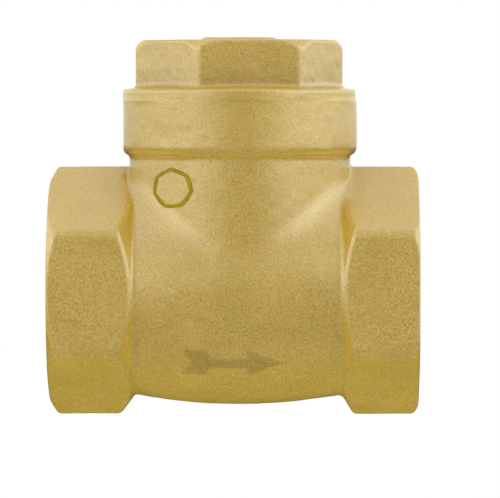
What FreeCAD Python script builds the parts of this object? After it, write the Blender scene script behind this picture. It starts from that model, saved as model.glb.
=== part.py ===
"""Brass swing check valve for a 1 inch pipe, with threaded ends and a screwed hexagon cap.

Frame, in millimetres: the origin is the centre of the inlet end face, +X is the way the water flows,
+Z points up to the cap, and the hinge pin lies along Y. A clapper hangs from the pin and rests on a
seat that leans a few degrees, so that its own weight closes it.
"""

import FreeCAD, Part
import math
import os

V = FreeCAD.Vector
ORIGIN = V(0, 0, 0)
ALONG_X = V(1, 0, 0)
ALONG_Y = V(0, 1, 0)
ALONG_Z = V(0, 0, 1)
TOUCH = 0.03  # gap left between two faces that bear on each other
EDGE_BREAK = 0.3  # chamfer on turned edges

# ---- casting ----
FACE_TO_FACE = 75.0
BONNET_X = 38.5  # the cap's axis, a little nearer the outlet
NECK_X = 38.65  # the cast neck and collar stand slightly off the machined axis
HUB_ACROSS_FLATS = 44.0
HUB_CORNER_RADIUS = 25.3  # the hexagon's corners are turned down to this
HUB_END_SLOPE = math.tan(math.radians(60))  # chamfer: radius gained per unit of length
INLET_HUB_LENGTH = 14.4
INLET_FACE_RADIUS = 22.4  # where the end chamfer starts on the end face
INLET_BACK_SLOPE = 1.4  # the hub's back: radius lost per unit of length
OUTLET_HUB_LENGTH = 13.2
OUTLET_FACE_RADIUS = 23.6
OUTLET_BACK_SLOPE = 1.7
BARREL_END_RADIUS = 21.2
BARREL_MID_RADIUS = 23.3
NECK_RADIUS = 22.4
COLLAR_RADIUS = 23.75
COLLAR_BOTTOM = 27.5
COLLAR_TOP = 38.5
COLLAR_ROUND = 1.0
LUG_INSET = 1.2  # how far inside the neck's surface the lugs stop

# ---- flow arrow, cast proud of the barrel on both sides ----
ARROW_START = 27.2
ARROW_LENGTH = 20.0
ARROW_DROP = 37.0  # degrees below the flow axis
ARROW_HALF_HEIGHT = 3.1
ARROW_SHAFT_HALF = 1.1
ARROW_HEAD = 6.8
ARROW_TAIL = 6.4
ARROW_NOTCH = 2.2
ARROW_PROUD = 0.45

# ---- pipe ends: ISO 7-1 Rp 1, parallel internal thread ----
PIPE_PITCH = 2.309
PIPE_MAJOR = 33.249 / 2
PIPE_EFFECTIVE = 31.770 / 2
PIPE_MINOR = 31.0 / 2  # bored a little over 30.291, as brass fittings are, so its crests are flat
PIPE_HALF_ANGLE = math.radians(27.5)
PIPE_THREAD_END = 12.9  # depth from the end face
PIPE_RELIEF_RADIUS = 16.8
PIPE_RELIEF_LENGTH = 2.2
PIPE_MOUTH_RADIUS = 17.0

# ---- chamber and seat ----
CHAMBER_RADIUS = 18.6
CHAMBER_FLOOR_RADIUS = 18.4
CHAMBER_START = 20.8
CHAMBER_END = 56.6
CHAMBER_ROUND = 3.0
OUTLET_BORE = 13.0
SEAT_BORE = 11.5
SEAT_LEAN = 6.0  # degrees off vertical
SEAT_X = 23.0
SEAT_LIP_RADIUS = 12.9
SEAT_LIP_HEIGHT = 0.8
SEAT_BOSS_RADIUS = 14.2
SEAT_BOSS_DEPTH = 6.0

# ---- hinge; the pin's place is measured from the seat's centre, square to the seat and up it ----
PIN_AHEAD = 4.5
PIN_ABOVE = 20.7
PIN_RADIUS = 2.0
PIN_CLEARANCE = 0.06
LUG_RADIUS = 4.5
LUG_INNER_Y = 7.3
PIN_HOLE_END_Y = 15.6
PIN_END_GAP = 0.4
PLUG_RADIUS = 3.42
PLUG_SEAT_Y = -13.4
PLUG_PROUD = 0.12
BEAD_WIDTH = 0.55
BEAD_PROUD = 0.22

# ---- screwed cap: M40 x 1.5 ----
CAP_PITCH = 1.5
CAP_THREAD_MAJOR = 20.05
CAP_THREAD_MINOR = 19.25
CAP_THREAD_BOTTOM = 30.2
CAP_ROOT_HALF = CAP_PITCH / 10  # half the flat at the collar groove's root
CAP_FLANK = math.tan(math.radians(30))
CAP_RELIEF_RADIUS = 20.2
CAP_RELIEF_LENGTH = 1.6
CAP_GROOVE_START = CAP_THREAD_BOTTOM - CAP_RELIEF_LENGTH / 2
FLANK_GAP = 0.1
SPIGOT_RADIUS = 19.88
SPIGOT_ROOT = 19.0
SPIGOT_BOTTOM = 31.8
SPIGOT_TIP_RADIUS = 18.7
SPIGOT_NECK_RADIUS = 18.93
SPIGOT_NECK_LENGTH = 1.7
CAP_HOLLOW_RADIUS = 15.6
CAP_HOLLOW_TOP = 46.0
CAP_HOLLOW_ROUND = 4.0
FLANGE_BOTTOM = 38.7
FLANGE_EDGE_TOP = 40.9
FLANGE_CONE_TOP = 41.6
FLANGE_CONE_RADIUS = 18.0
FLANGE_RADIUS = 23.7
CAP_HEX_ACROSS_FLATS = 37.1
CAP_HEX_TURN = 7.5  # where the hexagon stops when the cap is tight
CAP_HEX_TOP = 50.95
CAP_HEX_CORNER_RADIUS = 21.35
CAP_HEX_CROWN = 1.6  # 45 degree chamfer turned on the top corners
CAP_BOSS_RADIUS = 7.5
CAP_BOSS_HEIGHT = 0.6
GASKET_INNER = 20.3
GASKET_OUTER = 21.9
GASKET_THICKNESS = 1.0
GASKET_POCKET_RADIUS = 22.0

# ---- clapper, measured from the seat plane along the seat's axis ----
SEAL_RADIUS = 13.3
SEAL_THICKNESS = 2.2
HOLDER_RADIUS = 14.0
HOLDER_RIM_START = 0.9
HOLDER_BACK = 4.6
HOLDER_BACK_RADIUS = 11.6
HOLDER_BOSS_RADIUS = 5.2
HOLDER_BOSS_END = 6.6
STUD_RADIUS = 2.95
STUD_ROOT = 2.4
STUD_END = 16.4
STUD_PITCH = 1.0
SCREW_RADIUS = 1.95
SCREW_HOLE_RADIUS = 2.0
SCREW_DEPTH = 5.2
SCREW_HEAD_RADIUS = 3.5
SCREW_HEAD_HEIGHT = 1.7
SCREW_SLOT_WIDTH = 0.9
SCREW_SLOT_DEPTH = 0.85
FRONT_WASHER_RADIUS = 6.4
FRONT_WASHER_THICKNESS = 0.9
HANGER_START = 6.8
HANGER_THICKNESS = 3.3
HANGER_RING_RADIUS = 6.8
HANGER_HOLE = 3.05
HANGER_ARM_WIDTH = 9.0
HANGER_EYE_RADIUS = 3.9
HANGER_EYE_HALF_WIDTH = 6.9
HANGER_BEND = 14.8  # where the arm turns in towards the pin
HANGER_SET = 1.3
HANGER_GAP = 1.0
HANGER_RIB_WIDTH = 2.4
HANGER_RIB_HEIGHT = 1.6
STOP_REACH = 6.45
STOP_ANGLE = 31.0  # from the arm's line, so that it meets the wall when the clapper is open
STOP_THICKNESS = 2.4
STOP_WIDTH = 6.0
BACK_WASHER_START = 10.3
BACK_WASHER_THICKNESS = 0.8
BACK_WASHER_RADIUS = 5.3
NUT_ACROSS_FLATS = 10.0
NUT_HEIGHT = 4.1
NUT_HOLE = 3.0
NUT_SLOT_WIDTH = 1.5
NUT_SLOT_DEPTH = 1.7
COTTER_RADIUS = 0.55
COTTER_HOLE = 0.65
COTTER_HALF_LENGTH = 6.9
COTTER_EYE_RADIUS = 1.1
COTTER_EYE_WIRE = 0.38
COTTER_LEG_RADIUS = 0.44
COTTER_LEG_LENGTH = 2.6
COTTER_LEG_LEAN = 0.1


def cylinder(radius, start, length, direction):
    return Part.makeCylinder(radius, length, start, direction)


def turned(points, axis_direction=ALONG_X):
    """A solid of revolution about X or Z. Each point is (along, radius) and the outline closes itself."""
    if axis_direction == ALONG_X:
        corners = [V(along, 0, radius) for along, radius in points]
    else:
        corners = [V(radius, 0, along) for along, radius in points]
    face = Part.Face(Part.makePolygon(corners + corners[:1]))
    return face.revolve(ORIGIN, axis_direction, 360)


def hexagon_prism(across_flats, height, turn_degrees):
    """A hexagon standing on the XY plane, its first corner turned from +X."""
    radius = across_flats / math.sqrt(3)
    corners = []
    for step in range(7):
        angle = math.radians(60 * step + turn_degrees)
        corners.append(V(radius * math.cos(angle), radius * math.sin(angle), 0))
    return Part.Face(Part.makePolygon(corners)).extrude(V(0, 0, height))


def helical_groove(inner, outer, pitch, start, end):
    """A right-hand helical groove about Z. inner and outer are (radius, half width) of its section."""
    helix = Part.Wire(Part.makeHelix(pitch, end - start, (inner[0] + outer[0]) / 2))
    helix.translate(V(0, 0, start))
    section = [
        V(inner[0], 0, start - inner[1]),
        V(outer[0], 0, start - outer[1]),
        V(outer[0], 0, start + outer[1]),
        V(inner[0], 0, start + inner[1]),
    ]
    return helix.makePipeShell([Part.makePolygon(section + section[:1])], True, True)


def at_bonnet(shape):
    """Moves a shape made about the Z axis to the cap's axis."""
    shape.translate(V(BONNET_X, 0, 0))
    return shape


def at_seat(shape):
    """Moves a shape made square to the seat, with X out of the seat, into place."""
    shape.rotate(ORIGIN, ALONG_Y, -SEAT_LEAN)
    shape.translate(V(SEAT_X, 0, 0))
    return shape


def pin_axis():
    lean = math.radians(SEAT_LEAN)
    x = SEAT_X + PIN_AHEAD * math.cos(lean) - PIN_ABOVE * math.sin(lean)
    z = PIN_AHEAD * math.sin(lean) + PIN_ABOVE * math.cos(lean)
    return x, z


def hub(face_radius, length, back_slope):
    """One hexagon end, its face at X = 0 and its back towards +X."""
    end_chamfer = (HUB_CORNER_RADIUS - face_radius) / HUB_END_SLOPE
    back_chamfer = (HUB_CORNER_RADIUS - BARREL_END_RADIUS) / back_slope
    prism = hexagon_prism(HUB_ACROSS_FLATS, length + back_chamfer, 0)
    prism.rotate(ORIGIN, ALONG_Y, 90)
    outline = [
        (0, 0),
        (0, face_radius),
        (end_chamfer, HUB_CORNER_RADIUS),
        (length, HUB_CORNER_RADIUS),
        (length + back_chamfer, BARREL_END_RADIUS),
        (length + back_chamfer, 0),
    ]
    return prism.common(turned(outline))


def barrel():
    """The belly between the hubs, an arc turned about the flow axis."""
    start = INLET_HUB_LENGTH
    end = FACE_TO_FACE - OUTLET_HUB_LENGTH
    drop = HUB_CORNER_RADIUS - BARREL_END_RADIUS
    low = V(start + drop / INLET_BACK_SLOPE, 0, BARREL_END_RADIUS)
    high = V(end - drop / OUTLET_BACK_SLOPE, 0, BARREL_END_RADIUS)
    edges = [
        Part.Arc(low, V(BONNET_X, 0, BARREL_MID_RADIUS), high).toShape(),
        Part.makeLine(high, V(end, 0, BARREL_END_RADIUS)),
        Part.makeLine(V(end, 0, BARREL_END_RADIUS), V(end, 0, 0)),
        Part.makeLine(V(end, 0, 0), V(start, 0, 0)),
        Part.makeLine(V(start, 0, 0), V(start, 0, BARREL_END_RADIUS)),
        Part.makeLine(V(start, 0, BARREL_END_RADIUS), low),
    ]
    return Part.Face(Part.Wire(edges)).revolve(ORIGIN, ALONG_X, 360)


def at_neck(shape):
    """Moves a shape made about the Z axis to the neck's axis."""
    shape.translate(V(NECK_X, 0, 0))
    return shape


def neck_and_collar():
    """The upright cylinder that the cap screws into, and the round collar at its top."""
    bend = COLLAR_ROUND * (1 - math.sqrt(0.5))
    foot = V(NECK_RADIUS, 0, COLLAR_BOTTOM)
    round_start = V(COLLAR_RADIUS - COLLAR_ROUND, 0, COLLAR_BOTTOM)
    round_middle = V(COLLAR_RADIUS - bend, 0, COLLAR_BOTTOM + bend)
    round_end = V(COLLAR_RADIUS, 0, COLLAR_BOTTOM + COLLAR_ROUND)
    rim = V(COLLAR_RADIUS, 0, COLLAR_TOP)
    collar = Part.makePolygon([round_end, rim, V(0, 0, COLLAR_TOP), V(0, 0, COLLAR_BOTTOM), round_start])
    edges = collar.Edges + [Part.Arc(round_start, round_middle, round_end).toShape()]
    collar = Part.Face(Part.Wire(edges)).revolve(ORIGIN, ALONG_Z, 360)
    neck = cylinder(foot.x, ORIGIN, foot.z, ALONG_Z)
    return at_neck(neck.fuse(collar).removeSplitter())


def arrow(side):
    """The flow arrow, cut from a skin over the barrel. side is -1 for the front and 1 for the back."""
    tip = ARROW_START + ARROW_LENGTH
    head = tip - ARROW_HEAD
    tail = ARROW_START + ARROW_TAIL
    half = ARROW_HALF_HEIGHT
    outline = [
        V(ARROW_START, half, 0),
        V(tail - ARROW_NOTCH, half, 0),
        V(tail, ARROW_SHAFT_HALF, 0),
        V(head, ARROW_SHAFT_HALF, 0),
        V(head, half, 0),
        V(tip, 0, 0),
        V(head, -half, 0),
        V(head, -ARROW_SHAFT_HALF, 0),
        V(tail, -ARROW_SHAFT_HALF, 0),
        V(tail - ARROW_NOTCH, -half, 0),
        V(ARROW_START, -half, 0),
        V(ARROW_START + ARROW_NOTCH, 0, 0),
    ]
    prism = Part.Face(Part.makePolygon(outline + outline[:1])).extrude(V(0, 0, BARREL_MID_RADIUS + 3))
    prism.rotate(ORIGIN, ALONG_X, -side * (90 + ARROW_DROP))
    skin = cylinder(BARREL_MID_RADIUS + ARROW_PROUD, V(0, 0, 0), FACE_TO_FACE, ALONG_X)
    core = cylinder(BARREL_END_RADIUS, V(0, 0, 0), FACE_TO_FACE, ALONG_X)
    return prism.common(skin).cut(core)


def casting():
    """The outside of the body, before it is machined."""
    inlet = hub(INLET_FACE_RADIUS, INLET_HUB_LENGTH, INLET_BACK_SLOPE)
    outlet = hub(OUTLET_FACE_RADIUS, OUTLET_HUB_LENGTH, OUTLET_BACK_SLOPE)
    outlet.rotate(ORIGIN, ALONG_Z, 180)
    outlet.translate(V(FACE_TO_FACE, 0, 0))
    return barrel().fuse([inlet, outlet, neck_and_collar()]).removeSplitter()


def chamber():
    """The hollow under the cap: an upright bore over a rounded trough."""
    upright = at_bonnet(cylinder(CHAMBER_RADIUS, ORIGIN, COLLAR_TOP, ALONG_Z))
    trough = cylinder(CHAMBER_FLOOR_RADIUS, V(CHAMBER_START, 0, 0), CHAMBER_END - CHAMBER_START, ALONG_X)
    rims = [e for e in trough.Edges if isinstance(e.Curve, Part.Circle)]
    return upright.fuse(trough.makeFillet(CHAMBER_ROUND, rims))


def seat_boss():
    boss = cylinder(SEAT_BOSS_RADIUS, V(-SEAT_BOSS_DEPTH, 0, 0), SEAT_BOSS_DEPTH - SEAT_LIP_HEIGHT, ALONG_X)
    lip = cylinder(SEAT_LIP_RADIUS, V(-SEAT_BOSS_DEPTH, 0, 0), SEAT_BOSS_DEPTH, ALONG_X)
    return at_seat(boss.fuse(lip))


def pin_lugs():
    """Two cast lugs on the chamber wall that carry the hinge pin's ends."""
    x, z = pin_axis()
    wall = at_neck(cylinder(NECK_RADIUS - LUG_INSET, ORIGIN, COLLAR_BOTTOM, ALONG_Z))
    length = NECK_RADIUS - LUG_INNER_Y
    lugs = []
    for side in (-1, 1):
        lug = cylinder(LUG_RADIUS, V(x, side * LUG_INNER_Y, z), length, ALONG_Y * side)
        lugs.append(lug.common(wall))
    return lugs


def pipe_port():
    """What is cut out of one end, its mouth at X = 0 and going in towards +X."""
    mouth = PIPE_MOUTH_RADIUS - PIPE_MINOR
    outline = [
        (-1, 0),
        (-1, PIPE_MOUTH_RADIUS),
        (0, PIPE_MOUTH_RADIUS),
        (mouth, PIPE_MINOR),
        (PIPE_THREAD_END, PIPE_MINOR),
        (PIPE_THREAD_END, PIPE_RELIEF_RADIUS),
        (PIPE_THREAD_END + PIPE_RELIEF_LENGTH, PIPE_RELIEF_RADIUS),
        (PIPE_THREAD_END + PIPE_RELIEF_LENGTH, 0),
    ]
    root = PIPE_PITCH / 4 - (PIPE_MAJOR - PIPE_EFFECTIVE) * math.tan(PIPE_HALF_ANGLE)
    inner = PIPE_MINOR - 0.5
    open_side = root + (PIPE_MAJOR - inner) * math.tan(PIPE_HALF_ANGLE)
    run_out = PIPE_THREAD_END + PIPE_RELIEF_LENGTH / 2
    groove = helical_groove((inner, open_side), (PIPE_MAJOR, root), PIPE_PITCH, -PIPE_PITCH, run_out)
    groove.rotate(ORIGIN, ALONG_Y, 90)
    return turned(outline), groove


def bonnet_port():
    """What is cut out of the collar for the cap, in order: bore, thread, then relief and gasket pocket."""
    relief_bottom = CAP_THREAD_BOTTOM - CAP_RELIEF_LENGTH
    pocket_floor = FLANGE_BOTTOM - GASKET_THICKNESS
    bevel = CAP_THREAD_MAJOR - CAP_THREAD_MINOR
    bore = cylinder(CAP_THREAD_MINOR, V(0, 0, relief_bottom), COLLAR_TOP - relief_bottom, ALONG_Z)
    inner = CAP_THREAD_MINOR - 0.3
    open_side = CAP_ROOT_HALF + (CAP_THREAD_MAJOR - inner) * CAP_FLANK
    section = ((inner, open_side), (CAP_THREAD_MAJOR, CAP_ROOT_HALF))
    groove = helical_groove(*section, CAP_PITCH, CAP_GROOVE_START, pocket_floor + CAP_PITCH / 2)
    outline = [
        (relief_bottom, 0),
        (relief_bottom, CAP_RELIEF_RADIUS),
        (CAP_THREAD_BOTTOM, CAP_RELIEF_RADIUS),
        (CAP_THREAD_BOTTOM + bevel, CAP_THREAD_MINOR),
        (pocket_floor - bevel, CAP_THREAD_MINOR),
        (pocket_floor, CAP_THREAD_MAJOR),
        (pocket_floor, GASKET_POCKET_RADIUS),
        (COLLAR_TOP + 1, GASKET_POCKET_RADIUS),
        (COLLAR_TOP + 1, 0),
    ]
    return [at_bonnet(cutter) for cutter in (bore, groove, turned(outline, ALONG_Z))]


def valve_body():
    body = casting().cut(chamber())
    body = body.fuse([seat_boss()] + pin_lugs() + [arrow(-1), arrow(1)])
    seat_bore = at_seat(cylinder(SEAT_BORE, V(-SEAT_BOSS_DEPTH - 2, 0, 0), SEAT_BOSS_DEPTH + 4, ALONG_X))
    inlet_bore_length = SEAT_X - SEAT_BOSS_DEPTH - PIPE_THREAD_END
    inlet_bore = cylinder(SEAT_BORE, V(PIPE_THREAD_END, 0, 0), inlet_bore_length, ALONG_X)
    outlet_bore = cylinder(OUTLET_BORE, V(BONNET_X, 0, 0), FACE_TO_FACE - BONNET_X, ALONG_X)
    cuts = [seat_bore, inlet_bore, outlet_bore]
    port, groove = pipe_port()
    cuts += [port, groove]
    for piece in (port.copy(), groove.copy()):
        piece.rotate(ORIGIN, ALONG_Z, 180)
        piece.translate(V(FACE_TO_FACE, 0, 0))
        cuts.append(piece)
    cuts += bonnet_port()
    x, z = pin_axis()
    pin_hole = cylinder(PIN_RADIUS + PIN_CLEARANCE, V(x, PIN_HOLE_END_Y, z), 2 * NECK_RADIUS, -ALONG_Y)
    plug_hole = cylinder(PLUG_RADIUS, V(x, PLUG_SEAT_Y, z), NECK_RADIUS, -ALONG_Y)
    cuts += [pin_hole, plug_hole]
    for cutter in cuts:
        body = body.cut(cutter)
    return body


def hinge_pin():
    x, z = pin_axis()
    start = PLUG_SEAT_Y + 2 * TOUCH
    length = PIN_HOLE_END_Y - PIN_END_GAP - start
    pin = cylinder(PIN_RADIUS, V(x, start, z), length, ALONG_Y)
    ends = [e for e in pin.Edges if isinstance(e.Curve, Part.Circle)]
    return pin.makeChamfer(EDGE_BREAK, ends)


def neck_skin(low, high):
    """The part of the neck's outside between two heights above its surface."""
    outer = at_neck(cylinder(NECK_RADIUS + high, ORIGIN, COLLAR_BOTTOM, ALONG_Z))
    inner = at_neck(cylinder(NECK_RADIUS + low, ORIGIN, COLLAR_BOTTOM, ALONG_Z))
    return outer.cut(inner)


def hinge_pin_plug():
    """Pressed in over the pin's end and dressed to the curve of the neck."""
    x, z = pin_axis()
    plug = cylinder(PLUG_RADIUS - 0.01, V(x, PLUG_SEAT_Y - TOUCH, z), NECK_RADIUS, -ALONG_Y)
    outside = at_neck(cylinder(NECK_RADIUS + PLUG_PROUD, ORIGIN, COLLAR_BOTTOM, ALONG_Z))
    return plug.common(outside)


def plug_sealant():
    """The bead of thread sealant left round the plug, lying on the neck's surface."""
    x, z = pin_axis()
    start = V(x, PLUG_SEAT_Y, z)
    ring = cylinder(PLUG_RADIUS + BEAD_WIDTH, start, NECK_RADIUS, -ALONG_Y)
    ring = ring.cut(cylinder(PLUG_RADIUS + 0.01, start, NECK_RADIUS, -ALONG_Y))
    return ring.common(neck_skin(0.02, BEAD_PROUD))


def cap_spigot():
    """The threaded skirt of the cap, with a plain neck between thread and flange."""
    spigot = cylinder(SPIGOT_RADIUS, V(0, 0, SPIGOT_BOTTOM), FLANGE_BOTTOM - SPIGOT_BOTTOM, ALONG_Z)
    ridge = CAP_ROOT_HALF + (CAP_THREAD_MAJOR - SPIGOT_ROOT) * CAP_FLANK - FLANK_GAP
    floor = CAP_PITCH / 2 - ridge
    outer = SPIGOT_RADIUS + 0.3
    section = ((SPIGOT_ROOT, floor), (outer, floor + (outer - SPIGOT_ROOT) * CAP_FLANK))
    run_out = FLANGE_BOTTOM - SPIGOT_NECK_LENGTH / 2
    groove = helical_groove(*section, CAP_PITCH, CAP_GROOVE_START + CAP_PITCH / 2, run_out)
    neck_start = FLANGE_BOTTOM - SPIGOT_NECK_LENGTH
    neck = [
        (neck_start, SPIGOT_NECK_RADIUS),
        (neck_start, outer),
        (FLANGE_BOTTOM, outer),
        (FLANGE_BOTTOM, SPIGOT_NECK_RADIUS),
    ]
    bevel = [
        (SPIGOT_BOTTOM, SPIGOT_TIP_RADIUS),
        (SPIGOT_BOTTOM, outer),
        (SPIGOT_BOTTOM + outer - SPIGOT_TIP_RADIUS, outer),
    ]
    return spigot.cut(groove).cut(turned(neck, ALONG_Z)).cut(turned(bevel, ALONG_Z))


def cap_hexagon():
    """The spanner hexagon, its top corners chamfered."""
    envelope = turned(
        [
            (FLANGE_BOTTOM, 0),
            (FLANGE_BOTTOM, CAP_HEX_CORNER_RADIUS),
            (CAP_HEX_TOP - CAP_HEX_CROWN, CAP_HEX_CORNER_RADIUS),
            (CAP_HEX_TOP, CAP_HEX_CORNER_RADIUS - CAP_HEX_CROWN),
            (CAP_HEX_TOP, 0),
        ],
        ALONG_Z,
    )
    hexagon = hexagon_prism(CAP_HEX_ACROSS_FLATS, CAP_HEX_TOP - FLANGE_BOTTOM, CAP_HEX_TURN)
    hexagon.translate(V(0, 0, FLANGE_BOTTOM))
    return hexagon.common(envelope)


def bonnet_cap():
    flange = turned(
        [
            (FLANGE_BOTTOM, 0),
            (FLANGE_BOTTOM, FLANGE_RADIUS),
            (FLANGE_EDGE_TOP, FLANGE_RADIUS),
            (FLANGE_CONE_TOP, FLANGE_CONE_RADIUS),
            (FLANGE_CONE_TOP, 0),
        ],
        ALONG_Z,
    )
    boss = cylinder(CAP_BOSS_RADIUS, V(0, 0, CAP_HEX_TOP - 1), 1 + CAP_BOSS_HEIGHT, ALONG_Z)
    hollow = cylinder(CAP_HOLLOW_RADIUS, ORIGIN, CAP_HOLLOW_TOP, ALONG_Z)
    top_rim = [e for e in hollow.Edges if abs(e.CenterOfMass.z - CAP_HOLLOW_TOP) < 0.01]
    hollow = hollow.makeFillet(CAP_HOLLOW_ROUND, top_rim[:1])
    return at_bonnet(flange.fuse([cap_hexagon(), boss, cap_spigot()]).cut(hollow))


def bonnet_gasket():
    bottom = FLANGE_BOTTOM - GASKET_THICKNESS
    ring = cylinder(GASKET_OUTER, V(0, 0, bottom), GASKET_THICKNESS, ALONG_Z)
    return at_bonnet(ring.cut(cylinder(GASKET_INNER, V(0, 0, bottom), GASKET_THICKNESS, ALONG_Z)))


def seat_disc():
    """The rubber face of the clapper."""
    bevel = 0.4
    return at_seat(
        turned(
            [
                (TOUCH, SCREW_HOLE_RADIUS + 0.1),
                (TOUCH, SEAL_RADIUS - bevel),
                (TOUCH + bevel, SEAL_RADIUS),
                (SEAL_THICKNESS, SEAL_RADIUS),
                (SEAL_THICKNESS, SCREW_HOLE_RADIUS + 0.1),
            ]
        )
    )


def disc_holder():
    """Brass dish behind the rubber, with the stud that hangs it and a cross hole for the cotter."""
    dish = turned(
        [
            (SEAL_THICKNESS + TOUCH, 0),
            (SEAL_THICKNESS + TOUCH, SEAL_RADIUS + 0.05),
            (HOLDER_RIM_START, SEAL_RADIUS + 0.05),
            (HOLDER_RIM_START, HOLDER_RADIUS),
            (SEAL_THICKNESS + 0.6, HOLDER_RADIUS),
            (HOLDER_BACK, HOLDER_BACK_RADIUS),
            (HOLDER_BACK, HOLDER_BOSS_RADIUS + 0.8),
            (HOLDER_BOSS_END, HOLDER_BOSS_RADIUS),
            (HOLDER_BOSS_END, STUD_RADIUS),
            (STUD_END - 0.5, STUD_RADIUS),
            (STUD_END, STUD_RADIUS - 0.5),
            (STUD_END, 0),
        ]
    )
    hole = cylinder(SCREW_HOLE_RADIUS, V(0, 0, 0), SCREW_DEPTH + 0.3, ALONG_X)
    thread_start = BACK_WASHER_START + BACK_WASHER_THICKNESS
    slope = math.tan(math.radians(30))
    floor = STUD_PITCH / 8
    outer = STUD_RADIUS + 0.2
    section = (outer, floor + (outer - STUD_ROOT) * slope)
    groove = helical_groove((STUD_ROOT, floor), section, STUD_PITCH, thread_start, STUD_END + STUD_PITCH)
    groove.rotate(ORIGIN, ALONG_Y, 90)
    cotter = cylinder(COTTER_HOLE, V(cotter_place(), -STUD_RADIUS - 1, 0), 2 * STUD_RADIUS + 2, ALONG_Y)
    return at_seat(dish.cut(hole).cut(groove).cut(cotter))


def seat_disc_washer():
    start = -FRONT_WASHER_THICKNESS
    ring = cylinder(FRONT_WASHER_RADIUS, V(start, 0, 0), FRONT_WASHER_THICKNESS, ALONG_X)
    edge = [e for e in ring.Edges if abs(e.CenterOfMass.x - start) < 0.01][:1]
    ring = ring.makeChamfer(EDGE_BREAK, edge)
    return at_seat(ring.cut(cylinder(SCREW_HOLE_RADIUS + 0.1, V(start, 0, 0), 1, ALONG_X)))


def seat_disc_screw():
    head_bottom = -FRONT_WASHER_THICKNESS - TOUCH
    head_top = head_bottom - SCREW_HEAD_HEIGHT
    screw = turned(
        [
            (head_top, 0),
            (head_top, SCREW_HEAD_RADIUS - 0.5),
            (head_top + 0.5, SCREW_HEAD_RADIUS),
            (head_bottom, SCREW_HEAD_RADIUS),
            (head_bottom, SCREW_RADIUS),
            (SCREW_DEPTH, SCREW_RADIUS),
            (SCREW_DEPTH, 0),
        ]
    )
    slot = Part.makeBox(
        SCREW_SLOT_DEPTH + 1,
        2 * SCREW_HEAD_RADIUS + 2,
        SCREW_SLOT_WIDTH,
        V(head_top - 1, -SCREW_HEAD_RADIUS - 1, -SCREW_SLOT_WIDTH / 2),
    )
    slot.rotate(ORIGIN, ALONG_X, 35)
    return at_seat(screw.cut(slot))


def cotter_place():
    """How far the cotter's hole is from the seat plane, half way down the nut's slots."""
    nut_top = BACK_WASHER_START + BACK_WASHER_THICKNESS + TOUCH + NUT_HEIGHT
    return nut_top - NUT_SLOT_DEPTH / 2


def slab(side, width):
    """A flat piece seen from the side: side is (ahead of the seat, above its centre) round its outline."""
    corners = [V(ahead, -width / 2, above) for ahead, above in side]
    return Part.Face(Part.makePolygon(corners + corners[:1])).extrude(V(0, width, 0))


def disc_hanger():
    """The arm: a ring round the stud, an eye round the pin and a heel that stops it when open."""
    back = HANGER_START + HANGER_THICKNESS
    ring = cylinder(HANGER_RING_RADIUS, V(HANGER_START, 0, 0), HANGER_THICKNESS, ALONG_X)
    arm = slab(
        [
            (HANGER_START, 0),
            (back, 0),
            (back, HANGER_BEND),
            (PIN_AHEAD + HANGER_EYE_RADIUS, PIN_ABOVE),
            (PIN_AHEAD - HANGER_EYE_RADIUS, PIN_ABOVE),
            (HANGER_START - HANGER_SET, HOLDER_RADIUS + HANGER_GAP),
            (HANGER_START, HOLDER_RADIUS - HANGER_GAP),
        ],
        HANGER_ARM_WIDTH,
    )
    rib = slab(
        [
            (back - HANGER_GAP, HANGER_RING_RADIUS - HANGER_GAP),
            (back + HANGER_RIB_HEIGHT, HANGER_RING_RADIUS + HANGER_GAP),
            (back + HANGER_RIB_HEIGHT / 2, HANGER_BEND + HANGER_GAP),
            (PIN_AHEAD + PIN_RADIUS + HANGER_GAP, PIN_ABOVE),
        ],
        HANGER_RIB_WIDTH,
    )
    eye_start = V(PIN_AHEAD, -HANGER_EYE_HALF_WIDTH, PIN_ABOVE)
    eye = cylinder(HANGER_EYE_RADIUS, eye_start, 2 * HANGER_EYE_HALF_WIDTH, ALONG_Y)
    heel = slab(
        [
            (PIN_AHEAD - STOP_THICKNESS / 2, PIN_ABOVE),
            (PIN_AHEAD + STOP_THICKNESS / 2, PIN_ABOVE),
            (PIN_AHEAD + STOP_THICKNESS / 2, PIN_ABOVE + STOP_REACH),
            (PIN_AHEAD - STOP_THICKNESS / 2, PIN_ABOVE + STOP_REACH),
        ],
        STOP_WIDTH,
    )
    heel.rotate(V(PIN_AHEAD, 0, PIN_ABOVE), ALONG_Y, STOP_ANGLE)
    hanger = ring.fuse([arm, eye, heel, rib]).removeSplitter()
    hanger = hanger.cut(cylinder(HANGER_HOLE, V(0, 0, 0), 2 * back, ALONG_X))
    hole_start = V(PIN_AHEAD, -NECK_RADIUS, PIN_ABOVE)
    return at_seat(hanger.cut(cylinder(PIN_RADIUS + PIN_CLEARANCE, hole_start, 2 * NECK_RADIUS, ALONG_Y)))


def hanger_washer():
    start = V(BACK_WASHER_START, 0, 0)
    ring = cylinder(BACK_WASHER_RADIUS, start, BACK_WASHER_THICKNESS, ALONG_X)
    return at_seat(ring.cut(cylinder(HANGER_HOLE, start, BACK_WASHER_THICKNESS, ALONG_X)))


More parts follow.
